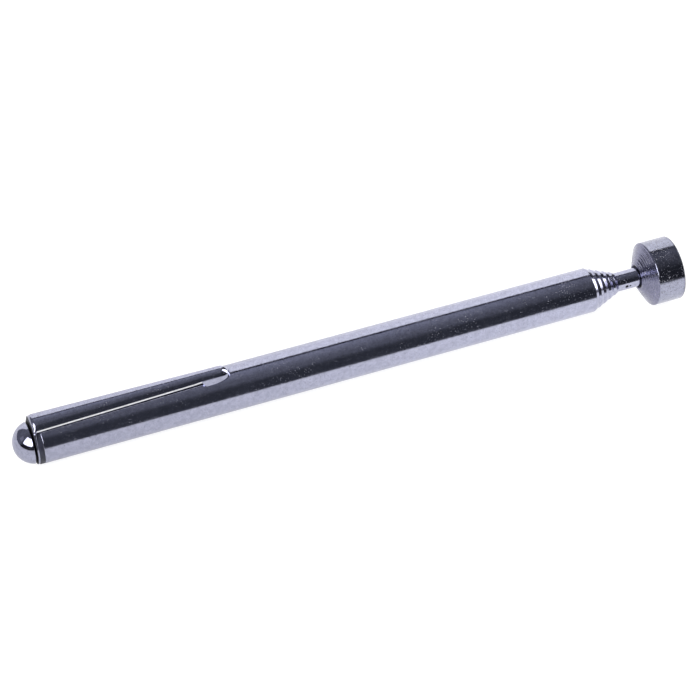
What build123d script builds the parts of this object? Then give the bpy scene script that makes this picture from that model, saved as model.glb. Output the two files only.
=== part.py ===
"""Telescopic magnetic pick-up tool: a pen-sized barrel, five sliding sections and a pot-magnet head.

The tool lies along X with its magnet at +X and its pocket clip on top, at +Z. The origin is the centre of
the magnet's working face with the tool closed. Lengths are in millimetres.

The barrel is the first of six nested tubes. Each tube's front end, its mouth, is rolled in to guide the next
tube. At its rear end every moving tube has a flared rim and a raised bead, and between them two sprung brass
half shells rub on the bore outside them, so that the tube stays where it is pulled to.
"""

import os

from build123d import *

os.makedirs("parts", exist_ok=True)

# Tubes
BARREL_RADIUS = 4.0
RADIUS_STEP = 0.45  # each tube is this much smaller in radius than the one outside it
WALL = 0.25
SLIDING_TUBES = 5  # the last of them is the rod that carries the magnet
BARREL_LENGTH = 101.25
MOUTH_STEP = 1.14  # how far each mouth stands beyond the one outside it
ROD_SHOWING = 4.35  # rod between the last mouth and the hub of the magnet head

# Rolled mouth
ROLL_LENGTH = 0.55
ROLL_DROP = 0.33  # how far the outside curves in
LIP_CLEARANCE = 0.04  # between the lip and the tube that runs in it
LIP_LENGTH = 0.3

# Rear end of a sliding tube, from its end forwards
FLARE_LENGTH = 0.5
FLARE_CLEARANCE = 0.03
SHELL_LENGTH = 4.0
SHELL_CLEARANCE = 0.02  # inside and outside the shell
SHELL_END_GAP = 0.05
SHELL_SPLIT = 0.5  # width of the slots between the two half shells
BEAD_LENGTH = 0.4
BEAD_HEIGHT = 0.12
REAR_GAP = 0.3  # between the bush in the barrel and the first sliding tube

# Rear of the barrel, from its end backwards
FLANGE_THICKNESS = 0.8
FLANGE_RADIUS = 3.95
FLANGE_CHAMFER = 0.12
BUSH_LENGTH = 4.0
CLIP_SHEET = 0.4
CLIP_RING_RADIUS = 3.85
CAP_SHANK_RADIUS = 2.0
CAP_SHANK_LENGTH = 3.5  # past the barrel's end
CAP_GROOVE = 0.3
CAP_GROOVE_RADIUS = 3.2
CAP_RADIUS = 3.64
CAP_DOME = 3.0

# Pocket clip
CLIP_TOP = 5.85  # height of its crown above the tool's axis
CLIP_LENGTH = 35.0  # from the ring's rear face to the tip
CLIP_REAR_ARCH = 2.5  # outside radius of the arched strip at the ring
CLIP_FRONT_ARCH = 1.4  # and along its tip
CLIP_REAR_ANGLE = 57.0  # the arch runs this many degrees down each side of its crown
CLIP_FRONT_ANGLE = 95.0
CLIP_TIP_LENGTH = 5.2
CLIP_TIP_CLEARANCE = 0.03  # between the tip's foot and the barrel
CLIP_JOINT_GAP = 0.02  # between the ring's tongue and the arm

# Magnet head
HEAD_RADIUS = 5.72
HEAD_LENGTH = 5.0  # its cylindrical part
HEAD_EDGE = 0.15
CONE_LENGTH = 1.88  # from the cylindrical part back to the hub's face
HUB_RADIUS = 2.35
HUB_RECESS_RADIUS = 2.1
HUB_RECESS_DEPTH = 0.35
CUP_BORE = 4.9
CUP_DEPTH = 3.8
ROD_SEAT_DEPTH = 1.2  # from the hub's face
MAGNET_RADIUS = 4.3
MAGNET_THICKNESS = 3.0
SPACER_RECESS = 0.15
STUD_FLANGE_RADIUS = 3.4
STUD_LENGTH = 5.5  # behind the hub's face, inside the rod
DIMPLE_BALL = 0.7
DIMPLE_DEPTH = 0.13
DIMPLE_BEHIND_HUB = 2.5

# Stations along X
HUB_BACK = -HEAD_LENGTH - CONE_LENGTH
LAST_MOUTH = HUB_BACK - ROD_SHOWING
BARREL_MOUTH = LAST_MOUTH - (SLIDING_TUBES - 1) * MOUTH_STEP
BARREL_REAR = BARREL_MOUTH - BARREL_LENGTH
FIRST_REAR = BARREL_REAR + BUSH_LENGTH + REAR_GAP
RING_FRONT = BARREL_REAR - FLANGE_THICKNESS
RING_REAR = RING_FRONT - CLIP_SHEET
SHELL_START = FLARE_LENGTH + SHELL_END_GAP  # ahead of a tube's rear end
BEAD_START = SHELL_START + SHELL_LENGTH + SHELL_END_GAP
BEAD_END = BEAD_START + BEAD_LENGTH
TRAVEL = BARREL_MOUTH - ROLL_LENGTH - SHELL_END_GAP - (FIRST_REAR + BEAD_END)


def save(part, name):
    """Label a finished piece and write its STEP file."""
    part.label = name
    export_step(part, f"parts/{name}.step")


def rolled_mouth_outline(front, radius):
    """Outer and inner lines of a rolled mouth, returned with the two points where the plain tube meets it."""
    lip = radius - RADIUS_STEP + LIP_CLEARANCE
    outside = (front - ROLL_LENGTH, radius)
    inside = (front - ROLL_LENGTH, radius - WALL)
    roll = TangentArc(outside, (front, radius - ROLL_DROP), tangent=(1, 0))
    Line(roll @ 1, (front, lip))
    Line((front, lip), (front - LIP_LENGTH, lip))
    Line((front - LIP_LENGTH, lip), inside)
    return outside, inside


# --- Barrel -----------------------------------------------------------------------------------------
with BuildPart() as barrel_tube:
    with BuildSketch(Plane.XZ):
        with BuildLine():
            outside, inside = rolled_mouth_outline(BARREL_MOUTH, BARREL_RADIUS)
            Polyline(outside, (BARREL_REAR, outside[1]), (BARREL_REAR, inside[1]), inside)
        make_face()
    revolve(axis=Axis.X)
save(barrel_tube.part, "barrel_tube")

# --- Bush, cap and clip ring at the barrel's rear ---------------------------------------------------
with BuildPart() as end_bush:
    with BuildSketch(Plane.XZ):
        with BuildLine():
            Polyline(
                (RING_FRONT, CAP_SHANK_RADIUS),
                (RING_FRONT, FLANGE_RADIUS - FLANGE_CHAMFER),
                (RING_FRONT + FLANGE_CHAMFER, FLANGE_RADIUS),
                (BARREL_REAR - FLANGE_CHAMFER, FLANGE_RADIUS),
                (BARREL_REAR, FLANGE_RADIUS - FLANGE_CHAMFER),
                (BARREL_REAR, BARREL_RADIUS - WALL),
                (BARREL_REAR + BUSH_LENGTH, BARREL_RADIUS - WALL),
                (BARREL_REAR + BUSH_LENGTH, CAP_SHANK_RADIUS),
                close=True,
            )
        make_face()
    revolve(axis=Axis.X)
save(end_bush.part, "end_bush")

with BuildPart() as end_cap:
    with BuildSketch(Plane.XZ):
        with BuildLine():
            dome_base = RING_REAR - CAP_GROOVE
            dome = TangentArc((dome_base - CAP_DOME, 0), (dome_base, CAP_RADIUS), tangent=(0, 1))
            Polyline(
                dome @ 1,
                (dome_base, CAP_GROOVE_RADIUS),
                (RING_REAR, CAP_GROOVE_RADIUS),
                (RING_REAR, CAP_SHANK_RADIUS),
                (BARREL_REAR + CAP_SHANK_LENGTH, CAP_SHANK_RADIUS),
                (BARREL_REAR + CAP_SHANK_LENGTH, 0),
                dome @ 0,
            )
        make_face()
    revolve(axis=Axis.X)
save(end_cap.part, "end_cap")

# --- Pocket clip ------------------------------------------------------------------------------------
# One stamping: a ring clamped behind the barrel, a plate that stands up from it, and an arched springy arm.
# The ring with its plate and the arm are separate solids that meet at the bend.


def arch_outline(radius, half_angle):
    """Closed outline of the arched strip's cross-section, drawn about the centre of its arch."""
    outer = CenterArc((0, 0), radius, 90 - half_angle, 2 * half_angle)
    inner = CenterArc((0, 0), radius - CLIP_SHEET, 90 - half_angle, 2 * half_angle)
    Line(outer @ 0, inner @ 0)
    Line(outer @ 1, inner @ 1)


with BuildPart() as clip_ring:
    with BuildSketch(Plane.YZ.offset(RING_REAR)) as plate_outline:
        with BuildLine():
            CenterArc((0, 0), CLIP_RING_RADIUS, 180, 180)
            CenterArc(
                (0, CLIP_TOP - CLIP_REAR_ARCH), CLIP_REAR_ARCH, 90 - CLIP_REAR_ANGLE, 2 * CLIP_REAR_ANGLE
            )
            CenterArc((0, 0), CLIP_RING_RADIUS, 0, 180)
        make_hull()
        Circle(CAP_SHANK_RADIUS, mode=Mode.SUBTRACT)
    extrude(amount=CLIP_SHEET)
save(clip_ring.part, "clip_ring")

ARM_REAR = RING_FRONT + CLIP_JOINT_GAP
CLIP_TIP = RING_REAR + CLIP_LENGTH
TIP_START = CLIP_TIP - CLIP_TIP_LENGTH
tip_axis_z = CLIP_TOP - CLIP_FRONT_ARCH
nose_start = CLIP_TIP - CLIP_FRONT_ARCH
tip_bore = CLIP_FRONT_ARCH - CLIP_SHEET
rear_plane = Plane((ARM_REAR, 0, CLIP_TOP - CLIP_REAR_ARCH), x_dir=(0, 1, 0), z_dir=(1, 0, 0))
front_plane = Plane((TIP_START, 0, tip_axis_z), x_dir=(0, 1, 0), z_dir=(1, 0, 0))
with BuildPart() as clip_arm:
    with BuildSketch(rear_plane):
        with BuildLine():
            arch_outline(CLIP_REAR_ARCH, CLIP_REAR_ANGLE)
        make_face()
    with BuildSketch(front_plane):
        with BuildLine():
            arch_outline(CLIP_FRONT_ARCH, CLIP_FRONT_ANGLE)
        make_face()
    loft()
    # The tip is a hollow rounded nose, open below where its edges rest on the barrel.
    with BuildSketch(Plane((0, 0, tip_axis_z), x_dir=(1, 0, 0), z_dir=(0, -1, 0))):
        with BuildLine():
            outer_nose = TangentArc((nose_start, CLIP_FRONT_ARCH), (CLIP_TIP, 0), tangent=(1, 0))
            inner_nose = TangentArc((nose_start, tip_bore), (CLIP_TIP - CLIP_SHEET, 0), tangent=(1, 0))
            Line(outer_nose @ 1, inner_nose @ 1)
            Polyline(outer_nose @ 0, (TIP_START, CLIP_FRONT_ARCH), (TIP_START, tip_bore), inner_nose @ 0)
        make_face()
    revolve(axis=Axis((0, 0, tip_axis_z), (1, 0, 0)))
    with BuildSketch(Plane.YZ.offset(ARM_REAR)):
        Circle(BARREL_RADIUS + CLIP_TIP_CLEARANCE)
    extrude(amount=CLIP_LENGTH, mode=Mode.SUBTRACT)
save(clip_arm.part, "clip_arm")

# --- Sliding tubes and their brass half shells ------------------------------------------------------
for index in range(1, SLIDING_TUBES + 1):
    section = index + 1  # the barrel is section 1
    radius = BARREL_RADIUS - index * RADIUS_STEP
    bore = radius - WALL
    outer_bore = radius + RADIUS_STEP - WALL  # of the tube that this one slides in
    flare_radius = outer_bore - FLARE_CLEARANCE
    rear = FIRST_REAR + (index - 1) * MOUTH_STEP
    is_rod = index == SLIDING_TUBES

    with BuildPart() as tube:
        with BuildSketch(Plane.XZ):
            with BuildLine():
                if is_rod:
                    front = HUB_BACK + ROD_SEAT_DEPTH
                    outside, inside = (front, radius), (front, bore)
                    Line(outside, inside)
                else:
                    outside, inside = rolled_mouth_outline(BARREL_MOUTH + index * MOUTH_STEP, radius)
                Polyline(
                    outside,
                    (rear + BEAD_END, radius),
                    (rear + BEAD_END - BEAD_LENGTH / 3, radius + BEAD_HEIGHT),
                    (rear + BEAD_START + BEAD_LENGTH / 3, radius + BEAD_HEIGHT),
                    (rear + BEAD_START, radius),
                    (rear + FLARE_LENGTH, radius),
                    (rear + FLARE_LENGTH / 2, flare_radius),
                    (rear, flare_radius),
                    (rear, radius),
                    (rear + FLARE_LENGTH / 2, bore),
                    inside,
                )
            make_face()
        revolve(axis=Axis.X)
        if is_rod:
            # Two punched dimples stake the rod to the stud inside it.
            dimple_height = radius + DIMPLE_BALL - DIMPLE_DEPTH
            dimple_x = HUB_BACK - DIMPLE_BEHIND_HUB
            with Locations((dimple_x, -dimple_height, 0), (dimple_x, dimple_height, 0)):
                Sphere(DIMPLE_BALL, mode=Mode.SUBTRACT)
    save(tube.part, "magnet_rod" if is_rod else f"section_{section}_tube")

    for side, name in ((1, "upper"), (-1, "lower")):
        with BuildPart() as shell:
            with BuildSketch(Plane.YZ.offset(rear + SHELL_START)):
                Circle(outer_bore - SHELL_CLEARANCE)
                Circle(radius + SHELL_CLEARANCE, mode=Mode.SUBTRACT)
                with Locations((0, side * (SHELL_SPLIT / 2 - BARREL_RADIUS))):
                    Rectangle(2 * BARREL_RADIUS, 2 * BARREL_RADIUS, mode=Mode.SUBTRACT)
            extrude(amount=SHELL_LENGTH)
        save(shell.part, f"shell_{section}_{name}")

# --- Magnet head ------------------------------------------------------------------------------------
rod_radius = BARREL_RADIUS - SLIDING_TUBES * RADIUS_STEP
stud_radius = rod_radius - WALL
with BuildPart() as magnet_cup:
    with BuildSketch(Plane.XZ):
        with BuildLine():
            Polyline(
                (HUB_BACK, HUB_RADIUS),
                (-HEAD_LENGTH, HEAD_RADIUS - HEAD_EDGE),
                (-HEAD_LENGTH + HEAD_EDGE, HEAD_RADIUS),
                (-HEAD_EDGE, HEAD_RADIUS),
                (0, HEAD_RADIUS - HEAD_EDGE),
                (0, CUP_BORE),
                (-CUP_DEPTH, CUP_BORE),
                (-CUP_DEPTH, stud_radius),
                (HUB_BACK + ROD_SEAT_DEPTH, stud_radius),
                (HUB_BACK + ROD_SEAT_DEPTH, rod_radius),
                (HUB_BACK + HUB_RECESS_DEPTH, rod_radius),
                (HUB_BACK + HUB_RECESS_DEPTH, HUB_RECESS_RADIUS),
                (HUB_BACK, HUB_RECESS_RADIUS),
                close=True,
            )
        make_face()
    revolve(axis=Axis.X)
save(magnet_cup.part, "magnet_cup")

with BuildPart() as rod_stud:
    with BuildSketch(Plane.YZ.offset(-CUP_DEPTH)):
        Circle(STUD_FLANGE_RADIUS)
    extrude(amount=CUP_DEPTH - MAGNET_THICKNESS)
    with BuildSketch(Plane.YZ.offset(-CUP_DEPTH)):
        Circle(stud_radius)
    extrude(amount=HUB_BACK - STUD_LENGTH + CUP_DEPTH)
    with BuildSketch(Plane.XZ):
        with Locations((HUB_BACK - DIMPLE_BEHIND_HUB, stud_radius)):
            Rectangle(2 * DIMPLE_BALL, DIMPLE_BALL)
    revolve(axis=Axis.X, mode=Mode.SUBTRACT)
save(rod_stud.part, "rod_stud")

with BuildPart() as spacer_ring:
    with BuildSketch(Plane.YZ.offset(-CUP_DEPTH)):
        Circle(CUP_BORE)
        Circle(MAGNET_RADIUS, mode=Mode.SUBTRACT)
    extrude(amount=CUP_DEPTH - SPACER_RECESS)
save(spacer_ring.part, "spacer_ring")

with BuildPart() as magnet_disc:
    with BuildSketch(Plane.YZ.offset(-MAGNET_THICKNESS)):
        Circle(MAGNET_RADIUS)
    extrude(amount=MAGNET_THICKNESS)
save(magnet_disc.part, "magnet_disc")

print(f"travel of each section {TRAVEL:.2f} mm")
print(f"clip hinge at x {RING_FRONT:.3f}, z {CLIP_TOP:.3f}; tip at x {CLIP_TIP:.3f}")
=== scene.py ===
"""Telescopic magnetic pick-up tool, lying closed on a pale studio floor with its pocket clip on top.

The tool lies along X with its magnet at +X and its clip at +Z. Lengths are written in millimetres and turned
into metres by MM where a mesh is made. Sizes come from the CAD nodes' boxes, or are named below.
"""

from math import acos, atan2, cos, hypot, pi, radians, sin, tan

import bmesh
import bpy
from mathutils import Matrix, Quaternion, Vector


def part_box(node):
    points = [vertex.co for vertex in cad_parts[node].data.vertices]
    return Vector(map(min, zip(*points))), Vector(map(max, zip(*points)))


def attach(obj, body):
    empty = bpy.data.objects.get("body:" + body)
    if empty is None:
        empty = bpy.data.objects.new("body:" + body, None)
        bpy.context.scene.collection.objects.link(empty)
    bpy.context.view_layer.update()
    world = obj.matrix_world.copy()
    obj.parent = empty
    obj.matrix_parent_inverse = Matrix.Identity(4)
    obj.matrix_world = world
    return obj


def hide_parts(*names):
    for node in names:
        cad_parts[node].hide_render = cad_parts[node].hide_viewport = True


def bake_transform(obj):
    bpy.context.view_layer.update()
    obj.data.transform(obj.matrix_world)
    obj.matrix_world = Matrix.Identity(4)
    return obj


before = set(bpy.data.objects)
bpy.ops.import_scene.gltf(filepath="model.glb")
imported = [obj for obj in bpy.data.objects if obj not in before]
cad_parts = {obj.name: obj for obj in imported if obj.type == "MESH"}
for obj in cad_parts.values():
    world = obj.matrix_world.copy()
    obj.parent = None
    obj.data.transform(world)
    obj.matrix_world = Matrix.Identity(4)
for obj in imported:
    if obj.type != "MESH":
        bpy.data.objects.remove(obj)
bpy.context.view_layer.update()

MM = 0.001
SEGMENTS = 144  # round a piece
FILLET_STEPS = 5
HOLD = 0.03  # a point this far outside each fillet keeps the face beside it flat
FILLET_SHARE = 0.44  # most of a side that one fillet may take up
HOLD_SHARE = 0.05  # the same for HOLD


def extent(node):
    """Rear end, front end and outside radius of a round CAD node."""
    low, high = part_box(node)
    return low.x / MM, high.x / MM, high.y / MM


# --- Sizes ------------------------------------------------------------------------------------------
BARREL_REAR, BARREL_MOUTH, BARREL_RADIUS = extent("barrel_tube")
RING_REAR, RING_FRONT, RING_RADIUS = extent("clip_ring")
SHEET = RING_FRONT - RING_REAR
ARM_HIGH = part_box("clip_arm")[1] / MM  # its highest, foremost corner
HUB_BACK, _, HEAD_RADIUS = extent("magnet_cup")
MAGNET_REAR, _, MAGNET_RADIUS = extent("magnet_disc")
RADIUS_STEP = extent("section_2_tube")[2] - extent("section_3_tube")[2]
ROD_SECTION = 6
WALL = 0.25

SHOULDER_LENGTH = 0.62  # of a rolled mouth
SHOULDER_DROP = 0.27
NOSE_ROUND = 0.09
LIP_CLEARANCE = 0.05
LIP_LENGTH = 0.3
BEAD_HEIGHT = 0.12
BEAD_START, BEAD_END = 4.6, 5.0  # ahead of a section's rear end
FLARE_LENGTH = 0.5
FLARE_CLEARANCE = 0.03

CAP_GROOVE = 0.3  # between the cap's dome and the clip's ring
CROWN_INSET = 0.08  # under the top of the CAD arm
CROWN = ARM_HIGH.z - CROWN_INSET  # highest line of the clip's outside

HEAD_LENGTH = 5.0
HEAD_EDGE = 0.2
HUB_RADIUS = 2.35
HUB_RECESS_RADIUS = 2.1
HUB_RECESS_DEPTH = 0.35
CUP_BORE = 4.9
CUP_DEPTH = 3.8
ROD_SEAT_DEPTH = 1.2


def section_radius(section):
    """Outside radius of a section; the barrel is section 1."""
    return BARREL_RADIUS - (section - 1) * RADIUS_STEP


# --- Mesh making ------------------------------------------------------------------------------------
def rounded(corners):
    """Points of a closed outline of corners (x, radius, fillet). A corner without a fillet stays as it is."""
    points = []
    for i, corner in enumerate(corners):
        here = Vector(corner[:2])
        if len(corner) == 2:
            points.append(here)
            continue
        to_before = Vector(corners[i - 1][:2]) - here
        to_after = Vector(corners[(i + 1) % len(corners)][:2]) - here
        shorter = min(to_before.length, to_after.length)
        before, after = to_before.normalized(), to_after.normalized()
        half = before.angle(after) / 2
        reach = min(corner[2] / tan(half), FILLET_SHARE * shorter)
        hold = min(HOLD, HOLD_SHARE * shorter)
        fillet = reach * tan(half)
        centre = here + (before + after).normalized() * fillet / sin(half)
        first, last = here + before * reach - centre, here + after * reach - centre
        points.append(here + before * (reach + hold))
        for step in range(FILLET_STEPS + 1):
            share = step / FILLET_STEPS
            points.append(centre + first.lerp(last, share).normalized() * fillet)
        points.append(here + after * (reach + hold))
    return points


def make_object(name, vertices, faces):
    """A smooth-shaded object from vertices in millimetres."""
    mesh = bpy.data.meshes.new(name)
    mesh.from_pydata([Vector(v) * MM for v in vertices], [], faces)
    shape = bmesh.new()
    shape.from_mesh(mesh)
    bmesh.ops.remove_doubles(shape, verts=shape.verts, dist=1e-7)
    bmesh.ops.recalc_face_normals(shape, faces=shape.faces)
    shape.to_mesh(mesh)
    shape.free()
    mesh.shade_smooth()
    piece = bpy.data.objects.new(name, mesh)
    bpy.context.scene.collection.objects.link(piece)
    return piece


def lathe(name, outline):
    """A solid of revolution about X. The outline is a closed loop of (x, radius); radius 0 is on the axis."""
    vertices, rings = [], []
    for x, radius in outline:
        count = SEGMENTS if radius > 0 else 1
        rings.append(range(len(vertices), len(vertices) + count))
        for i in range(count):
            turn = 2 * pi * i / count
            vertices.append((x, radius * cos(turn), radius * sin(turn)))
    faces = []
    for a, b in zip(rings, rings[1:] + rings[:1]):
        if len(a) == len(b) == 1:
            continue
        for i in range(SEGMENTS):
            corners = [a[i % len(a)], a[(i + 1) % len(a)], b[(i + 1) % len(b)], b[i % len(b)]]
            faces.append(list(dict.fromkeys(corners)))
    return make_object(name, vertices, faces)


def finish_piece(piece, body, material, slot, *nodes):
    """The piece gets its material, rides on a body and stands for these CAD nodes."""
    piece.data.materials.append(material)
    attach(piece, body)
    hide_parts(*nodes)
    return piece


# --- Materials --------------------------------------------------------------------------------------
class Graph:
    """Adds shader nodes. An input given as a socket is linked, and any other value is set on the input."""

    def __init__(self, owner):
        owner.use_nodes = True
        self.tree = owner.node_tree
        self.tree.nodes.clear()

    def node(self, kind, inputs=None, output=0, **settings):
        node = self.tree.nodes.new(kind)
        for key, value in settings.items():
            setattr(node, key, value)
        for key, value in (inputs or {}).items():
            if isinstance(value, bpy.types.NodeSocket):
                self.tree.links.new(value, node.inputs[key])
            else:
                node.inputs[key].default_value = value
        return node.outputs[output] if node.outputs else node

    def math(self, operation, *values):
        return self.node("ShaderNodeMath", dict(enumerate(values)), operation=operation)

    def remap(self, value, low, high, to_low=0.0, to_high=1.0):
        """A smooth step of value from low to high."""
        spans = {"Value": value, "From Min": low, "From Max": high, "To Min": to_low, "To Max": to_high}
        return self.node("ShaderNodeMapRange", spans, interpolation_type="SMOOTHSTEP")

    def millimetres(self):
        place = self.node("ShaderNodeTexCoord", output="Object")
        return self.node("ShaderNodeVectorMath", {0: place, "Scale": 1 / MM}, operation="SCALE")

    def noise(self, place, scale, detail=2.0, stretch=(1, 1, 1)):
        placed = self.node("ShaderNodeVectorMath", {0: place, 1: stretch}, operation="MULTIPLY")
        sizes = {"Vector": placed, "Scale": scale, "Detail": detail}
        return self.node("ShaderNodeTexNoise", sizes)

    def rings(self, place, scale, detail):
        """Noise that varies with the distance from the tool's axis only."""
        sizes = {"W": self.off_axis(place), "Scale": scale, "Detail": detail}
        return self.node("ShaderNodeTexNoise", sizes, noise_dimensions="1D")

    def axes(self, place):
        """The X, Y and Z of a place or direction."""
        return self.node("ShaderNodeSeparateXYZ", {0: place}).node.outputs

    def off_axis(self, place):
        """Distance from the tool's axis, in millimetres."""
        flat = self.node("ShaderNodeVectorMath", {0: place, 1: (0, 1, 1)}, operation="MULTIPLY")
        return self.node("ShaderNodeVectorMath", {0: flat}, output="Value", operation="LENGTH")

    def bump(self, height, depth, normal=None):
        """Bumps of this depth, in metres."""
        sizes = {"Height": height, "Distance": depth, "Strength": 1.0}
        if normal is not None:
            sizes["Normal"] = normal
        return self.node("ShaderNodeBump", sizes)

    def blend(self, share, first, second):
        """The first colour where share is 0 and the second where it is 1."""
        mix = self.tree.nodes.new("ShaderNodeMix")
        mix.data_type = "RGBA"
        sockets = {socket.identifier: socket for socket in mix.inputs}
        for name, value in {"Factor_Float": share, "A_Color": first, "B_Color": second}.items():
            if isinstance(value, bpy.types.NodeSocket):
                self.tree.links.new(value, sockets[name])
            else:
                sockets[name].default_value = (*value, 1)
        return next(socket for socket in mix.outputs if socket.identifier == "Result_Color")

    def finish_surface(self, **inputs):
        inputs = {name.replace("_", " "): value for name, value in inputs.items()}
        surface = self.node("ShaderNodeBsdfPrincipled", inputs)
        self.node("ShaderNodeOutputMaterial", {"Surface": surface})


# Near-black colour painted as shade in grooves, seams and recesses, and in the darker patches round the
# head's front edge.
NEAR_BLACK = (0.012, 0.012, 0.014)
DUST = (0.62, 0.62, 0.66)


def darker(tint, share):
    """This share of the tint."""
    return tuple(channel * share for channel in tint)


def chrome(
    name, tint, lines=0.0, rings=0.0, pits=0.5, pit_cells=1.3, flecks=0.45, dust=0.35, gloss=1.0, darkening=None
):
    """Bright plate over drawn, turned or stamped steel, with smudges, tool marks, tiny pits and specks.

    lines and rings are the depths of the marks along and round the tool, in metres. pits is the share of the
    pit_cells, counted per millimetre, that hold a pit. flecks and dust are the strengths of the dark and
    the pale specks. gloss is above 1 where the plate is smoother. darkening is a function of the graph and
    the place that gives the share of near-black painted there: painted shade in grooves, seams and recesses,
    and darker patches round the head's front edge.
    """
    material = bpy.data.materials.new(name)
    graph = Graph(material)
    place = graph.millimetres()
    normal = graph.bump(graph.noise(place, 1.1, 3.0), 5e-6)
    if lines:
        drawn = graph.noise(place, 6.0, 3.0, (0.02, 1, 1))
        normal = graph.bump(drawn, lines, normal)
    if rings:
        normal = graph.bump(graph.rings(place, 5.0, 3.0), rings, normal)
    cells = {"Vector": place, "Scale": pit_cells}
    spot = graph.node("ShaderNodeTexVoronoi", cells, output="Distance")
    cell_colour = graph.node("ShaderNodeTexVoronoi", cells, output="Color")
    chosen = graph.math("LESS_THAN", graph.node("ShaderNodeSeparateColor", {0: cell_colour}), pits)
    pit = graph.math("MULTIPLY", graph.remap(spot, 0.06, 0.17, 1.0, 0.0), chosen)
    grain = graph.noise(place, 5.0, 2.0)
    normal = graph.bump(graph.math("ADD", pit, graph.math("MULTIPLY", grain, 0.25)), 7e-6, normal)
    smudge = graph.remap(graph.noise(place, 0.35, 3.0), 0.35, 0.75, 0.11 / gloss, 0.17 / gloss)
    dull = graph.math("ADD", smudge, graph.remap(grain, 0.5, 0.75, 0.0, 0.1))
    cloud = graph.remap(graph.noise(place, 1.2, 5.0), 0.35, 0.68)
    fleck = graph.remap(grain, 0.48, 0.68)
    colour = graph.blend(cloud, tint, darker(tint, 0.87))
    colour = graph.blend(graph.math("MULTIPLY", fleck, flecks), colour, darker(tint, 0.6))
    colour = graph.blend(graph.math("MULTIPLY", pit, 0.6), colour, darker(tint, 0.4))
    patchy = graph.remap(graph.noise(place, 0.25, 2.0), 0.4, 0.65, 0.3, 1.0)
    speck = graph.math("MULTIPLY", graph.remap(graph.noise(place, 4.6, 1.0), 0.63, 0.7), patchy)
    speck = graph.math("MULTIPLY", speck, dust)
    colour = graph.blend(speck, colour, DUST)
    if darkening:
        # Near-black painted shade in grooves, seams and recesses, and the head's darker rim patches, by the
        # share that darkening gives.
        share = darkening(graph, place)
        colour = graph.blend(share, colour, NEAR_BLACK)
        dull = graph.math("MAXIMUM", dull, graph.math("MULTIPLY", share, 0.6))
    metal = graph.math("SUBTRACT", 1.0, speck)
    graph.finish_surface(Base_Color=colour, Metallic=metal, Roughness=dull, Normal=normal)
    return material


def cap_groove_shade(graph, place):
    """Painted shade in the groove between the cap and the clip's ring."""
    along = graph.axes(place)[0]
    groove = RING_REAR - CAP_GROOVE
    return graph.remap(along, groove - 0.05, groove)


def ring_seat_shade(graph, place):
    """Painted shade where the cap and the bush clamp the clip's ring, and on the plate's rear beside the
    dome.
    """
    away = graph.off_axis(place)
    seat = graph.remap(away, RING_RADIUS - 0.16, RING_RADIUS - 0.06, 1.0, 0.0)
    along = graph.axes(place)[0]
    rear = graph.remap(along, RING_REAR + 0.03, RING_REAR + 0.14, 0.9, 0.0)
    corner = graph.math("MULTIPLY", rear, graph.remap(away, CROWN - 0.9, CROWN - 0.3, 1.0, 0.0))
    return graph.math("MAXIMUM", seat, corner)


def recess_shade(graph, place):
    """Painted shade, made patchy, in the recess where the rod enters the head."""
    in_recess = graph.remap(graph.off_axis(place), HUB_RECESS_RADIUS - 0.12, HUB_RECESS_RADIUS + 0.02, 1.0, 0.0)
    patchy = graph.remap(graph.noise(place, 0.8, 2.0), 0.35, 0.5, 0.5, 1.0)
    return graph.math("MULTIPLY", in_recess, patchy)


def cup_recess_shade_and_rim_patches(graph, place):
    """The recess's painted shade, and patches darker round the head's front edge."""
    along = graph.axes(place)[0]
    patchy = graph.remap(graph.noise(place, 0.9, 2.0), 0.3, 0.5, 0.0, 0.85)
    rim = graph.remap(graph.off_axis(place), HEAD_RADIUS - HEAD_EDGE - 0.03, HEAD_RADIUS - 0.1)
    front = graph.remap(along, -0.28, -0.1)
    rim_patches = graph.math("MULTIPLY", graph.math("MULTIPLY", front, rim), patchy)
    return graph.math("MAXIMUM", rim_patches, recess_shade(graph, place))


def punch_mark_shade(graph, place):
    """Painted shade where the rod's wall is punched in."""
    rod_radius = section_radius(ROD_SECTION)
    return graph.remap(graph.off_axis(place), rod_radius - 0.09, rod_radius - 0.015, 1.0, 0.0)


def slate_nylon():
    """Turned slate-coloured plastic."""
    material = bpy.data.materials.new("slate_nylon")
    graph = Graph(material)
    place = graph.millimetres()
    turned = graph.noise(place, 8.0, 2.0, (4, 0.3, 0.3))
    cloud = graph.remap(graph.noise(place, 1.5, 3.0), 0.3, 0.7)
    colour = graph.blend(cloud, (0.032, 0.034, 0.058), (0.018, 0.02, 0.036))
    roughness = graph.remap(turned, 0.3, 0.7, 0.38, 0.52)
    graph.finish_surface(Base_Color=colour, Roughness=roughness, Normal=graph.bump(turned, 4e-6))
    return material


def turned_metal(name, tint, roughness):
    """Machined metal with fine rings about the tool's axis and a little tarnish."""
    material = bpy.data.materials.new(name)
    graph = Graph(material)
    place = graph.millimetres()
    turned = graph.rings(place, 11.0, 4.0)
    tarnish = graph.remap(graph.noise(place, 1.1, 4.0), 0.4, 0.7)
    colour = graph.blend(tarnish, tint, darker(tint, 0.7))
    spread = graph.remap(turned, 0.3, 0.7, roughness, roughness + 0.15)
    graph.finish_surface(Base_Color=colour, Metallic=1.0, Roughness=spread, Normal=graph.bump(turned, 5e-6))
    return material


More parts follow.
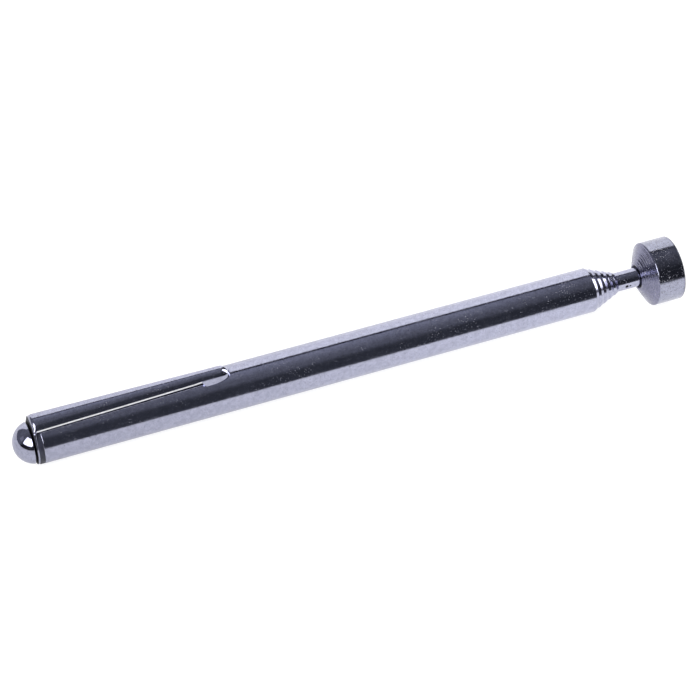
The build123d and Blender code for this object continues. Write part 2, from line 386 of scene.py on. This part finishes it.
def ground_magnet():
    """Dark alloy whose face is ground in straight strokes, with small chips."""
    material = bpy.data.materials.new("ground_magnet")
    graph = Graph(material)
    place = graph.millimetres()
    strokes = graph.noise(place, 5.0, 4.0, (1, 0.15, 2.2))
    grains = graph.noise(place, 6.0, 3.0)
    chip = graph.remap(grains, 0.66, 0.72)
    colour = graph.blend(graph.remap(strokes, 0.3, 0.7), (0.12, 0.12, 0.13), (0.2, 0.2, 0.215))
    colour = graph.blend(chip, colour, (0.03, 0.03, 0.035))
    normal = graph.bump(chip, -1.2e-5, graph.bump(strokes, 5e-6))
    roughness = graph.remap(strokes, 0.3, 0.7, 0.3, 0.5)
    graph.finish_surface(Base_Color=colour, Metallic=0.85, Roughness=roughness, Normal=normal)
    return material


CHROME_TINT = (0.46, 0.47, 0.60)
TUBE_CHROME = chrome("chromed_tube", CHROME_TINT, lines=2e-6)
CAP_CHROME = chrome("chromed_cap", CHROME_TINT, pits=0.3, gloss=2.0, darkening=cap_groove_shade)
ROD_CHROME = chrome("chromed_rod", CHROME_TINT, lines=2e-6, darkening=punch_mark_shade)
CUP_TINT = (0.37, 0.38, 0.48)
CUP_WEAR = {"pits": 0.9, "pit_cells": 2.2, "flecks": 1.0, "dust": 0.8}
CUP_CHROME = chrome("chromed_cup", CUP_TINT, **CUP_WEAR, darkening=cup_recess_shade_and_rim_patches)
# A darker copy of the head's chrome for its back cone: painted shade for the dark surroundings that its rough
# turned face mixes into its reflections.
CONE_SHADED_TINT = (0.24, 0.24, 0.34)
CONE_CHROME = chrome("chromed_cone", CONE_SHADED_TINT, **CUP_WEAR, rings=5e-5, darkening=recess_shade)
CLIP_CHROME = chrome("chromed_clip", CHROME_TINT, lines=1.5e-6, darkening=ring_seat_shade)
# The outer corner of the clip's edge gets a much paler chrome than the rest: a painted highlight.
CLIP_EDGE_HIGHLIGHT = chrome("clip_edge_painted_highlight", (0.93, 0.93, 0.96), pits=0.2)
CLIP_INSIDE = chrome("chromed_clip_inside", (0.3, 0.3, 0.36), lines=6e-6, pits=0.9)
NYLON = slate_nylon()
STEEL = turned_metal("turned_steel", (0.42, 0.43, 0.46), 0.28)
BRASS = turned_metal("turned_brass", (0.70, 0.50, 0.22), 0.24)
BRONZE = turned_metal("sprung_bronze", (0.62, 0.40, 0.20), 0.3)
MAGNET = ground_magnet()


# --- Tubes ------------------------------------------------------------------------------------------
def rolled_mouth(front, radius):
    """Outline of a rolled-in mouth: a conical shoulder, the lip's rounded nose and the bore behind it."""
    lip = radius - RADIUS_STEP + LIP_CLEARANCE
    return [
        (front - SHOULDER_LENGTH, radius, 0.22),
        (front - NOSE_ROUND, radius - SHOULDER_DROP, 0.12),
        (front, lip + NOSE_ROUND / 2, 0.04),
        (front - 0.02, lip, 0.03),
        (front - LIP_LENGTH, lip, 0.02),
        (front - SHOULDER_LENGTH - 0.05, radius - WALL, 0.05),
    ]


def make_barrel():
    outline = [
        (BARREL_REAR, BARREL_RADIUS - WALL, 0.03),
        (BARREL_REAR, BARREL_RADIUS, 0.13),
        *rolled_mouth(BARREL_MOUTH, BARREL_RADIUS),
    ]
    piece = lathe("barrel", rounded(outline))
    finish_piece(piece, "barrel", TUBE_CHROME, "chromed_tube", "barrel_tube")


def section_rear(rear, radius):
    """Outline of a sliding section's flare and bead, from its bore to its outside."""
    flare = radius + RADIUS_STEP - WALL - FLARE_CLEARANCE
    bead = radius + BEAD_HEIGHT
    return [
        (rear + FLARE_LENGTH / 2, radius - WALL, 0.05),
        (rear, radius, 0.01),
        (rear, flare, 0.03),
        (rear + FLARE_LENGTH / 2, flare, 0.04),
        (rear + FLARE_LENGTH, radius, 0.05),
        (rear + BEAD_START, radius, 0.03),
        (rear + (BEAD_START + BEAD_END) / 2, bead, 0.1),
        (rear + BEAD_END, radius, 0.03),
    ]


def make_section(section):
    node = f"section_{section}_tube"
    rear, front, _ = extent(node)
    radius = section_radius(section)
    outline = [
        *section_rear(rear, radius),
        *rolled_mouth(front, radius),
    ]
    piece = lathe(f"section_{section}", rounded(outline))
    finish_piece(piece, f"section_{section}", TUBE_CHROME, "chromed_tube", node)


PUNCH_MARKS = ((2.62, 0.42, 0.2), (2.0, 0.27, 0.14))  # distance behind the hub, radius and depth
PUNCHED_START = HUB_BACK - 3.2  # where the rod's mesh gets finer for its punch marks
PUNCHED_STEP = 0.06
PUNCHED_RINGS = 30


def punch(piece, radius):
    """Sinks the punch marks into the outside of the rod, on both sides."""
    for vertex in piece.data.vertices:
        x, y, z = vertex.co / MM
        if hypot(y, z) < radius - WALL / 2:
            continue
        around = radius * atan2(z, abs(y))
        sunk = 0.0
        for behind, reach, depth in PUNCH_MARKS:
            away = hypot(x - (HUB_BACK - behind), around) / reach
            sunk = max(sunk, depth * (1 - away**2) ** 2 if away < 1 else 0.0)
        vertex.co.yz *= 1 - sunk / radius


def make_rod():
    """The innermost section, with a pair of punch marks on each side that stake it to the stud inside it."""
    rear, front, _ = extent("magnet_rod")
    radius = section_radius(ROD_SECTION)
    outline = [
        *section_rear(rear, radius),
        *[(PUNCHED_START + PUNCHED_STEP * step, radius) for step in range(PUNCHED_RINGS)],
        (front, radius, 0.03),
        (front, radius - WALL, 0.03),
    ]
    piece = lathe("rod", rounded(outline))
    punch(piece, radius)
    finish_piece(piece, "rod_and_magnet", ROD_CHROME, "chromed_rod", "magnet_rod")


# --- Rear of the barrel -----------------------------------------------------------------------------
BUSH_BORE_SHARE = 0.55  # of the cap's radius


def make_bush():
    rear, front, radius = extent("end_bush")
    plug = BARREL_RADIUS - WALL
    bore = extent("end_cap")[2] * BUSH_BORE_SHARE
    outline = [
        (rear, bore, 0.02),
        (rear, radius, 0.14),
        (BARREL_REAR, radius, 0.14),
        (BARREL_REAR, plug, 0.02),
        (front, plug, 0.2),
        (front, bore, 0.05),
    ]
    piece = lathe("end_bush_turned", rounded(outline))
    finish_piece(piece, "barrel", NYLON, "slate_nylon", "end_bush")


CAP_GROOVE_RADIUS = 3.2
CAP_SHANK_RADIUS = 2.0
CAP_LIP = 0.1
DOME_STEPS = 40


def make_cap():
    rear, front, radius = extent("end_cap")
    base = RING_REAR - CAP_GROOVE
    height = base - rear
    sphere = (radius**2 + height**2) / (2 * height)
    centre = rear + sphere
    lip_angle = acos((centre - base + CAP_LIP) / sphere)
    turns = [lip_angle * step / DOME_STEPS for step in range(1, DOME_STEPS)]
    dome = [(centre - sphere * cos(turn), sphere * sin(turn)) for turn in turns]
    outline = [
        (rear, 0),
        *dome,
        (base - 0.02, radius, CAP_LIP),
        (base, CAP_GROOVE_RADIUS, 0.03),
        (RING_REAR, CAP_GROOVE_RADIUS, 0.03),
        (RING_REAR, CAP_SHANK_RADIUS, 0.02),
        (front, CAP_SHANK_RADIUS, 0.2),
        (front, 0),
    ]
    piece = lathe("cap", rounded(outline))
    finish_piece(piece, "barrel", CAP_CHROME, "chromed_cap", "end_cap")


# --- Pocket clip ------------------------------------------------------------------------------------
CLIP_TIP = ARM_HIGH.x
ARM_SINK = 0.22  # the crown is this much lower at the tip than at the bend
INNER_BEND = 0.3
OUTER_BEND = SHEET + INNER_BEND
ARM_START = RING_FRONT + INNER_BEND
ARM_END = CLIP_TIP - 7.4  # where the strip stops narrowing evenly
TIP_START = CLIP_TIP - 5.35
TIP_CLOSED = CLIP_TIP - 4.55
NOSE_OPENING = 0.75  # share of the sides' extra reach that is lost at the tip
NOSE_LENGTH = 1.9
NOSE_DROP = 0.5
NOSE_POWER = 2.5  # 2 is an ellipse, and more is blunter
REAR_ARCH, STRIP_ARCH, TIP_ARCH = 2.2, 1.47, 1.34  # outside radii of the arched strip
REAR_HALF, STRIP_HALF, TIP_HALF = 67.0, 70.0, 71.0  # degrees of arch on each side of the crown
STRIP_EDGE = (0.42, 0.32, 0.05)  # the cut edge's rounding: reach, and depth on the strip's outside and inside
RIM_EDGE = (0.12, 0.12, 0.1)  # the same for the plate, on its rear and front
FOOT_RADIUS = BARREL_RADIUS + 0.05  # the tip's edges stop this far from the tool's axis
HOLE_RADIUS = 2.0
ARCH_SHARES = [-1, -0.985, *(0.95 * step / 16 for step in range(-16, 17)), 0.985, 1]
FOOT_START = 0.6  # share of the arch past which the bend's foot turns towards the plate's side
FOOT_POWER = 1.5
FACE_SHARES = (0, 0.35, 0.7, 0.93)  # points on the plate's faces, from the hole's edge to the rim
SIDE_STEPS = 8
RING_STEPS = 80
ARM_STEPS, TIP_STEPS, NOSE_STEPS = 20, 30, 18
BEND_TURNS = [radians(15 * step) for step in range(7)]
EDGE_TURNS = [radians(angle) for angle in (30, 60, 90)]
EDGE_POINTS = 2 * len(EDGE_TURNS)
NOSE_EDGE = 0.4  # the nose's edge rounding over the strip's
TOP, UNDERSIDE, EDGE = range(3)  # material indices of the arm
EDGE_SHARE = 0.94  # share of the arch past which its outside is part of the edge and gets the painted highlight


def smooth(share):
    share = min(max(share, 0.0), 1.0)
    return share * share * (3 - 2 * share)


def foot_reach(arch, centre, turn):
    """Length of section from the crown round an arch of this turn and straight on down to the barrel."""
    end = Vector((arch * sin(turn), centre + arch * cos(turn)))
    toward = end.dot(Vector((cos(turn), -sin(turn))))
    return arch * turn - toward - (toward**2 - end.length_squared + FOOT_RADIUS**2) ** 0.5


def crown_height(x):
    return CROWN - ARM_SINK * (x - ARM_START) / (CLIP_TIP - ARM_START)


def closing(x):
    """Share of the way down to the barrel that the strip's sides reach.

    It rises steeply where the tip starts and falls again towards its end.
    """
    rise = smooth((x - TIP_START) / (TIP_CLOSED - TIP_START))
    return rise * (1 - NOSE_OPENING * max((x - TIP_CLOSED) / (CLIP_TIP - TIP_CLOSED), 0) ** 2)


def strip_form(x):
    """Outside radius, centre height and reach of the strip behind its nose.

    Reach is the length of section from the crown to an edge.
    """
    if x < ARM_END:
        share = (x - ARM_START) / (ARM_END - ARM_START)
        arch = REAR_ARCH + (STRIP_ARCH - REAR_ARCH) * share
        half = REAR_HALF + (STRIP_HALF - REAR_HALF) * share
    else:
        arch = STRIP_ARCH + (TIP_ARCH - STRIP_ARCH) * smooth((x - ARM_END) / (TIP_CLOSED - ARM_END))
        half = STRIP_HALF + (TIP_HALF - STRIP_HALF) * smooth((x - ARM_END) / (TIP_START - ARM_END))
    centre = crown_height(x) - arch
    reach = arch * radians(half)
    return arch, centre, reach + (foot_reach(arch, centre, radians(TIP_HALF)) - reach) * closing(x)


def section_points(x, arch, centre, reach, turn_limit=radians(TIP_HALF)):
    """Points across the strip, from its -Y edge to its +Y edge: an arch, then straight on past turn_limit."""
    points = []
    for share in ARCH_SHARES:
        side = 1 if share > 0 else -1
        length = abs(share) * reach
        on_arch = min(length, arch * turn_limit)
        turn = on_arch / arch if arch > 0 else turn_limit
        past = length - on_arch
        y = arch * sin(turn) + past * cos(turn)
        points.append(Vector((x, side * y, centre + arch * cos(turn) - past * sin(turn))))
    return points


def rounded_edge(first, last, outward, edge):
    """Points round the sheet's cut edge, between its points on the two faces."""
    reach, outer, inner = edge
    across = (last - first).normalized()
    near, far = [], []
    for turn in EDGE_TURNS:
        rise, inset = sin(turn), 1 - cos(turn)
        near.append(first + across * outer * inset + outward * reach * rise)
        far.append(last - across * inner * inset + outward * (reach - inner * (1 - rise)))
    return [*near, *reversed(far)]


def strip_loop(outside, inside, outward, edge):
    """A closed cross-section of the strip. outward points away from its +Y edge."""
    mirrored = Vector((outward.x, -outward.y, outward.z))
    right = rounded_edge(outside[-1], inside[-1], outward, edge)
    left = rounded_edge(outside[0], inside[0], mirrored, edge)
    return [*outside, *right, *inside[::-1], *reversed(left)]


def strip_station(x, inner_x, arch, inner_arch, centre, reach, turn_limit=radians(TIP_HALF), scale=1.0):
    """Cross-section of the arm or its nose. scale shrinks the edge rounding."""
    turn = min(reach / arch, turn_limit) if arch > 0 else turn_limit
    past = max(reach - arch * turn_limit, 0.0)
    outside = section_points(x, arch, centre, reach, turn_limit)
    inside = section_points(inner_x, inner_arch, centre, inner_arch * turn + past, turn_limit)
    outward = Vector((0, cos(turn), -sin(turn)))
    return strip_loop(outside, inside, outward, [size * scale for size in STRIP_EDGE])


def plate_outline():
    """Points and inward directions of the plate's outline, from its +Y side round the ring to its -Y side.

    A side runs straight down from the edge of the arch until it is tangent to the ring, and starts below the
    bend.
    """
    arch_end = section_points(0, REAR_ARCH, CROWN - REAR_ARCH, REAR_ARCH * radians(REAR_HALF))[-1].yz
    touch = atan2(arch_end.x, arch_end.y) + acos((RING_RADIUS - RIM_EDGE[0]) / arch_end.length)
    outward = Vector((sin(touch), cos(touch)))
    top, tangent = arch_end + outward * RIM_EDGE[0], outward * RING_RADIUS
    bent = OUTER_BEND / (tangent - top).length
    side = []
    for step in range(1, SIDE_STEPS):
        side.append((top.lerp(tangent, bent + (1 - bent) * step / SIDE_STEPS), -outward))
    ring = []
    for step in range(RING_STEPS + 1):
        turn = touch + (2 * pi - 2 * touch) * step / RING_STEPS
        toward = Vector((sin(turn), cos(turn)))
        ring.append((toward * RING_RADIUS, -toward))
    far_side = [(Vector((-p.x, p.y)), Vector((-n.x, n.y))) for p, n in reversed(side)]
    return [*side, *ring, *far_side]


def in_plane(x, point):
    return Vector((x, point.x, point.y))


def bend_loops():
    """Cross-sections through the bend, from the plate's plane to the start of the arm."""
    half = radians(REAR_HALF)
    crown = section_points(0, REAR_ARCH, CROWN - REAR_ARCH, REAR_ARCH * half)
    under = section_points(0, REAR_ARCH - SHEET, CROWN - REAR_ARCH, (REAR_ARCH - SHEET) * half)
    side_inward = plate_outline()[0][1]
    down_side = Vector((-side_inward.y, side_inward.x))
    foots = []
    for outer, inner, share in zip(crown, under, ARCH_SHARES):
        inward = (inner - outer).yz.normalized()
        along = Vector((down_side.x * (1 if share > 0 else -1), down_side.y))
        turned = max(abs(share) - FOOT_START, 0) / (1 - FOOT_START)
        down = inward.lerp(along, smooth(turned)).normalized()
        behind = outer.yz + down * OUTER_BEND
        corner = (crown[-1] if share > 0 else crown[0]).yz + along.normalized() * OUTER_BEND
        before = (inner.yz + down * INNER_BEND).lerp(corner, turned**FOOT_POWER)
        foots.append((outer.yz, inner.yz, behind, before))
    arm_outward = Vector((0, cos(half), -sin(half)))
    plate_outward = in_plane(0, -side_inward)
    loops = []
    for turn in BEND_TURNS:
        fall = 1 - sin(turn)
        outside = [
            in_plane(RING_REAR + OUTER_BEND * (1 - cos(turn)), outer.lerp(behind, fall))
            for outer, _, behind, _ in foots
        ]
        inside = [
            in_plane(RING_FRONT + INNER_BEND * (1 - cos(turn)), inner.lerp(before, fall))
            for _, inner, _, before in foots
        ]
        share = smooth(turn / BEND_TURNS[-1])
        outward = plate_outward.lerp(arm_outward, share).normalized()
        edge = [rim + (strip - rim) * share for rim, strip in zip(RIM_EDGE, STRIP_EDGE)]
        loops.append(strip_loop(outside, inside, outward, edge))
    return loops


def arm_loops():
    """Cross-sections along the arm and its tip, ending in a point."""
    nose_start = CLIP_TIP - NOSE_LENGTH
    places = [ARM_START + (ARM_END - ARM_START) * step / ARM_STEPS for step in range(1, ARM_STEPS + 1)]
    places += [ARM_END + (nose_start - ARM_END) * step / TIP_STEPS for step in range(1, TIP_STEPS + 1)]
    loops = []
    for x in places:
        arch, centre, reach = strip_form(x)
        loops.append(strip_station(x, x, arch, arch - SHEET, centre, reach))
    for step in range(1, NOSE_STEPS + 1):
        along = sin(pi / 2 * step / NOSE_STEPS)
        width = (1 - along**NOSE_POWER) ** (1 / NOSE_POWER) if step < NOSE_STEPS else 0.0
        arch = TIP_ARCH * width
        x, inner_x = nose_start + NOSE_LENGTH * along, nose_start + (NOSE_LENGTH - SHEET) * along
        centre = crown_height(x) - TIP_ARCH - NOSE_DROP * along**2
        limit = pi / 2 - (pi / 2 - radians(TIP_HALF)) * width
        reach = 0.0
        if step < NOSE_STEPS:
            reach = arch * limit + (foot_reach(arch, centre, limit) - arch * limit) * closing(x)
        inner_arch = (TIP_ARCH - SHEET) * width
        loops.append(strip_station(x, inner_x, arch, inner_arch, centre, reach, limit, width * NOSE_EDGE))
    return loops


def arm_material(place, normal):
    """Material index of a face of the arm. EDGE is for the outer corner of its edge, as far as the tip, where
    a much paler chrome paints a highlight.
    """
    arch, centre, reach = strip_form(place.x)
    from_centre = Vector((place.y, place.z - centre))
    outward = normal.yz.dot(from_centre.normalized())
    if outward < -0.05:
        return UNDERSIDE
    near_edge = abs(atan2(from_centre.x, from_centre.y)) > EDGE_SHARE * reach / arch
    return EDGE if near_edge and place.x < TIP_START else TOP


class Sheet:
    """Vertices and faces of a mesh that is put together row by row."""

    def __init__(self):
        self.vertices, self.faces = [], []

    def add(self, points):
        """Indices of a new row of points."""
        start = len(self.vertices)
        self.vertices.extend(points)
        return list(range(start, len(self.vertices)))

    def join(self, first, second, closed=False):
        """Adds the faces between two rows of the same length."""
        count = len(first)
        for i in range(count if closed else count - 1):
            j = (i + 1) % count
            self.faces.append((first[i], first[j], second[j], second[i]))


def add_plate(sheet, base):
    """Adds the clip's plate and ring to the sheet, in columns from the hole out.

    A column runs over the rear face, round the edge and back over the front face. Under the arch its edge
    is in base, the first loop of the bend. That loop runs along the rear, round the +Y edge, back along the
    front and round the -Y edge.
    """
    arch_count = len(ARCH_SHARES)
    front_start = arch_count + EDGE_POINTS
    front_end = front_start + arch_count - 1
    rims = [([base[i]], [base[front_end - i]]) for i in range(arch_count)]
    right_rim = base[arch_count - 1 : front_start + 1]
    left_rim = [base[0], *reversed(base[front_end + 1 :]), base[front_end]]
    for edge, inward in plate_outline():
        face_point = edge + inward * RIM_EDGE[0]
        rear, front = in_plane(RING_REAR, face_point), in_plane(RING_FRONT, face_point)
        rim = sheet.add([rear, *rounded_edge(rear, front, in_plane(0, -inward), RIM_EDGE), front])
        rims.append((rim, rim))

    def face_row(x, rim_index):
        corner = Vector(sheet.vertices[rim_index]).yz
        hole = corner.normalized() * HOLE_RADIUS
        return sheet.add([in_plane(x, hole.lerp(corner, share)) for share in FACE_SHARES])

    columns = []
    for behind, before in rims:
        rear_row = face_row(RING_REAR, behind[0])
        front_row = face_row(RING_FRONT, before[-1])
        columns.append(([*rear_row, behind[0]], [before[-1], *reversed(front_row)]))
    for (rear_row, front_row), (next_rear, next_front) in zip(columns, columns[1:] + columns[:1]):
        sheet.join(rear_row, next_rear)
        sheet.join(front_row, next_front)
        sheet.faces.append((front_row[-1], next_front[-1], next_rear[0], rear_row[0]))
    outline_rims = [rim for rim, _ in rims[arch_count:]]
    for first, second in zip([right_rim, *outline_rims], [*outline_rims, left_rim]):
        sheet.join(first, second)


def make_clip():
    """One stamping: the ring clamped behind the barrel, the plate above it, the bend and the arched arm."""
    sheet = Sheet()
    loops = [sheet.add(loop) for loop in (*bend_loops(), *arm_loops())]
    for first, second in zip(loops, loops[1:]):
        sheet.join(first, second, closed=True)
    add_plate(sheet, loops[0])
    clip = make_object("pocket_clip", sheet.vertices, sheet.faces)
    for material in (CLIP_CHROME, CLIP_INSIDE, CLIP_EDGE_HIGHLIGHT):
        clip.data.materials.append(material)
    for face in clip.data.polygons:
        centre = face.center / MM
        if centre.x > ARM_START:
            face.material_index = arm_material(centre, face.normal)
    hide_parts("clip_ring", "clip_arm")
    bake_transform(clip)


# --- Magnet head ------------------------------------------------------------------------------------
CONE_GROOVES = ((2.85, 0.025), (3.3, 0.06), (3.78, 0.04), (4.22, 0.035))  # radius and depth
GROOVE_WIDTH = 0.24
GROOVE_FLANK = 0.75  # depth halfway to a groove's side, over its full depth


def make_cup():
    slope = (HUB_BACK + HEAD_LENGTH) / (HUB_RADIUS - HEAD_RADIUS)

    def on_cone(radius, sunk=0.0):
        return (HUB_BACK + (radius - HUB_RADIUS) * slope + sunk, radius)

    grooves = []
    for radius, depth in CONE_GROOVES:
        half = GROOVE_WIDTH / 2
        grooves += [
            on_cone(radius - half - HOLD),
            on_cone(radius - half),
            on_cone(radius - half / 2, depth * GROOVE_FLANK),
            on_cone(radius, depth),
            on_cone(radius + half / 2, depth * GROOVE_FLANK),
            on_cone(radius + half),
            on_cone(radius + half + HOLD),
        ]
    rod_radius = section_radius(ROD_SECTION)
    outline = [
        (HUB_BACK + HUB_RECESS_DEPTH, rod_radius, 0.02),
        (HUB_BACK + HUB_RECESS_DEPTH, HUB_RECESS_RADIUS, 0.03),
        (HUB_BACK, HUB_RECESS_RADIUS, 0.05),
        (HUB_BACK, HUB_RADIUS, 0.06),
        *grooves,
        (-HEAD_LENGTH, HEAD_RADIUS, HEAD_EDGE),
        (0, HEAD_RADIUS, HEAD_EDGE),
        (0, CUP_BORE, 0.06),
        (-CUP_DEPTH, CUP_BORE, 0.1),
        (-CUP_DEPTH, rod_radius - WALL, 0.05),
        (HUB_BACK + ROD_SEAT_DEPTH, rod_radius - WALL, 0.03),
        (HUB_BACK + ROD_SEAT_DEPTH, rod_radius, 0.03),
    ]
    piece = lathe("cup", rounded(outline))
    finish_piece(piece, "rod_and_magnet", CUP_CHROME, "chromed_cup", "magnet_cup")
    piece.data.materials.append(CONE_CHROME)
    for face in piece.data.polygons:
        if face.center.x / MM < -HEAD_LENGTH and face.normal.x < -0.4:
            face.material_index = 1


def make_spacer():
    rear, front, radius = extent("spacer_ring")
    outline = [
        (rear, MAGNET_RADIUS, 0.05),
        (rear, radius, 0.05),
        (front, radius, 0.08),
        (front, MAGNET_RADIUS, 0.06),
    ]
    piece = lathe("spacer", rounded(outline))
    finish_piece(piece, "rod_and_magnet", BRASS, "spacer_brass", "spacer_ring")


def make_magnet():
    outline = [
        (MAGNET_REAR, 0),
        (MAGNET_REAR, MAGNET_RADIUS, 0.12),
        (0, MAGNET_RADIUS, 0.12),
        (0, 0),
    ]
    piece = lathe("magnet", rounded(outline))
    finish_piece(piece, "rod_and_magnet", MAGNET, "magnet", "magnet_disc")


# --- Pieces -----------------------------------------------------------------------------------------
make_barrel()
for section in range(2, ROD_SECTION):
    make_section(section)
make_rod()
make_bush()
make_cap()
make_clip()
make_cup()
make_spacer()
make_magnet()


def dress(node, material):
    """A CAD node that is shown as it is gets a finished material."""
    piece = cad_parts[node]
    for material_slot in piece.material_slots:
        material_slot.material = material


dress("rod_stud", STEEL)
for section in range(2, ROD_SECTION + 1):
    dress(f"shell_{section}_upper", BRONZE)
    dress(f"shell_{section}_lower", BRONZE)


# --- Studio -----------------------------------------------------------------------------------------
FLOOR_SIZE = 4000.0
FLOOR_GAP = 0.02


def make_floor():
    """A pale floor that the barrel's rear end and the magnet head rest on."""
    slope = (HEAD_RADIUS - BARREL_RADIUS) / (-HEAD_LENGTH - BARREL_REAR)
    vertices = []
    for right, back in ((-1, -1), (1, -1), (1, 1), (-1, 1)):
        x, y = right * FLOOR_SIZE, back * FLOOR_SIZE
        vertices.append((x, y, -HEAD_RADIUS - slope * (x + HEAD_LENGTH) - FLOOR_GAP))
    mesh = bpy.data.meshes.new("floor")
    mesh.from_pydata([Vector(v) * MM for v in vertices], [], [(0, 1, 2, 3)])
    floor = bpy.data.objects.new("floor", mesh)
    bpy.context.scene.collection.objects.link(floor)
    material = bpy.data.materials.new("floor_paper")
    graph = Graph(material)
    place = graph.millimetres()
    colour = graph.blend(graph.noise(place, 0.02, 3.0), (0.33, 0.33, 0.33), (0.36, 0.36, 0.36))
    # The floor glows: evenly where the camera sees it, and in reflections as a painted pool of light that is
    # dimmer towards the tool's rear and fades out towards -Y.
    x, y, _ = graph.axes(place)
    painted_light_pool = graph.math("MULTIPLY", graph.remap(x, -150, 20, 0.5, 0.85), graph.remap(y, -260, -40))
    seen = graph.node("ShaderNodeLightPath", output="Is Camera Ray")
    glow = graph.math("MAXIMUM", painted_light_pool, graph.math("MULTIPLY", seen, 0.84))
    graph.finish_surface(
        Base_Color=colour,
        Roughness=0.9,
        Specular_IOR_Level=0.0,
        Emission_Color=(1, 1, 1, 1),
        Emission_Strength=glow,
    )
    mesh.materials.append(material)


def make_overhead_light():
    light = bpy.data.lights.new("overhead", "AREA")
    light.size = 2.4
    light.energy = 10
    lamp = bpy.data.objects.new("overhead", light)
    lamp.location = (BARREL_REAR * MM / 2, 0, 1.6)
    lamp.visible_glossy = False
    bpy.context.scene.collection.objects.link(lamp)


BACKDROP_TOP = 1.33  # height over distance, as for the rail
RAIL_TOP = 1.9
BACKDROP_SIDES = (-0.51, 0.78)  # x over distance
DARK_WALL = (0.004, 0.004, 0.006)
PATCHES = (  # azimuths, elevations, softness of the edges and light
    ((160, 181), (20, 40), 4, (0.3, 0.3, 0.36)),
    ((-168, -115), (22, 58), 3, (5, 5, 5.2)),
    ((-14, 18), (2, 56), 3, (4, 4, 4.1)),
)
BELOW_HORIZON = (0.95, 0.95, 1.0)
SEEN_BACKGROUND = (0.95, 0.95, 0.96)


class Studio(Graph):
    """World shader of a studio, from the direction of view. Azimuth and elevation are in degrees."""

    def __init__(self, world):
        super().__init__(world)
        self.x, self.y, self.z = self.axes(self.node("ShaderNodeTexCoord", output="Generated"))
        self.azimuth = self.turn(self.y, self.x)
        self.elevation = self.math("MULTIPLY", self.math("ARCSINE", self.z), 180 / pi)

    def turn(self, rise, run):
        """Angle of a slope, in degrees."""
        return self.math("MULTIPLY", self.math("ARCTAN2", rise, run), 180 / pi)

    def band(self, value, low, high, soft):
        rise = self.remap(value, low - soft, low + soft)
        fall = self.remap(value, high - soft, high + soft, 1.0, 0.0)
        return self.math("MULTIPLY", rise, fall)

    def patch(self, azimuths, elevations, soft):
        across = self.band(self.azimuth, *azimuths, soft)
        return self.math("MULTIPLY", across, self.band(self.elevation, *elevations, soft))


def make_world():
    """A white backdrop at +Y with a dark rail above it, dark walls, two bright soft boxes and a dim one."""
    world = bpy.data.worlds.new("studio")
    bpy.context.scene.world = world
    studio = Studio(world)
    # The walls go from dark at the floor to grey overhead, and are darker towards both ends of the tool.
    rise = studio.turn(studio.z, studio.math("MULTIPLY", studio.y, -1))
    low_wall = studio.blend(studio.remap(studio.x, -0.15, 0.1), (0.018, 0.018, 0.024), (0.046, 0.05, 0.06))
    walls = studio.blend(studio.remap(rise, 40, 66), low_wall, (0.15, 0.155, 0.18))
    walls = studio.blend(studio.remap(rise, 64, 118), walls, (0.32, 0.33, 0.39))
    walls = studio.blend(studio.remap(studio.x, 0.31, 0.38, 0.0, 0.65), walls, DARK_WALL)
    walls = studio.blend(studio.remap(studio.x, -0.4, -0.05, 0.5, 0.0), walls, DARK_WALL)
    # The backdrop is a wall at +Y, so its edges have a constant height and side over distance.
    behind = studio.remap(studio.y, 0.0, 0.04)
    height = studio.math("DIVIDE", studio.z, studio.math("MAXIMUM", studio.y, 0.01))
    side = studio.math("DIVIDE", studio.x, studio.math("MAXIMUM", studio.y, 0.01))
    width = studio.band(side, *BACKDROP_SIDES, 0.05)
    backdrop = studio.remap(height, BACKDROP_TOP - 0.06, BACKDROP_TOP, 1.0, 0.0)
    backdrop = studio.math("MULTIPLY", behind, backdrop)
    backdrop = studio.math("MULTIPLY", backdrop, width)
    beside = studio.math("MULTIPLY", behind, studio.remap(side, 0.72, 0.84))
    beside = studio.math("MULTIPLY", beside, studio.remap(height, 0.9, 2.5, 1.0, 0.0))
    walls = studio.blend(beside, walls, (0.03, 0.03, 0.04))
    rail = studio.math("MULTIPLY", behind, studio.band(height, BACKDROP_TOP, RAIL_TOP, 0.05))
    rail = studio.math("MULTIPLY", rail, width)
    light = studio.blend(rail, walls, (0.01, 0.01, 0.025))
    paper = studio.blend(studio.remap(side, 0.05, 0.55), (1.1, 1.1, 1.12), (1.35, 1.35, 1.36))
    light = studio.blend(backdrop, light, paper)
    for azimuths, elevations, soft, colour in PATCHES:
        light = studio.blend(studio.patch(azimuths, elevations, soft), light, colour)
    light = studio.blend(studio.remap(studio.z, -0.01, 0.0, 1.0, 0.0), light, BELOW_HORIZON)
    seen = studio.node("ShaderNodeLightPath", output="Is Camera Ray")
    light = studio.blend(seen, light, SEEN_BACKGROUND)
    background = studio.node("ShaderNodeBackground", {"Color": light})
    studio.node("ShaderNodeOutputWorld", {"Surface": background})


CAMERA_AIM = Vector((-61.42, 0, 1.28))
CAMERA_DISTANCE = 444.26
CAMERA_AZIMUTH, CAMERA_ELEVATION, CAMERA_ROLL = -21.274, 45.768, 0.315


def make_camera():
    azimuth, elevation = radians(CAMERA_AZIMUTH), radians(CAMERA_ELEVATION)
    back = Vector((sin(azimuth) * cos(elevation), -cos(azimuth) * cos(elevation), sin(elevation)))
    settings = bpy.data.cameras.new("camera")
    settings.lens = 132.9
    settings.sensor_width = 36
    settings.clip_start = 0.01
    camera = bpy.data.objects.new("camera", settings)
    camera.location = (CAMERA_AIM + back * CAMERA_DISTANCE) * MM
    camera.rotation_mode = "QUATERNION"
    camera.rotation_quaternion = Quaternion(back, radians(CAMERA_ROLL)) @ (-back).to_track_quat("-Z", "Y")
    bpy.context.scene.collection.objects.link(camera)
    bpy.context.scene.camera = camera


make_floor()
make_overhead_light()
make_world()
make_camera()
bpy.context.scene.view_settings.view_transform = "Standard"
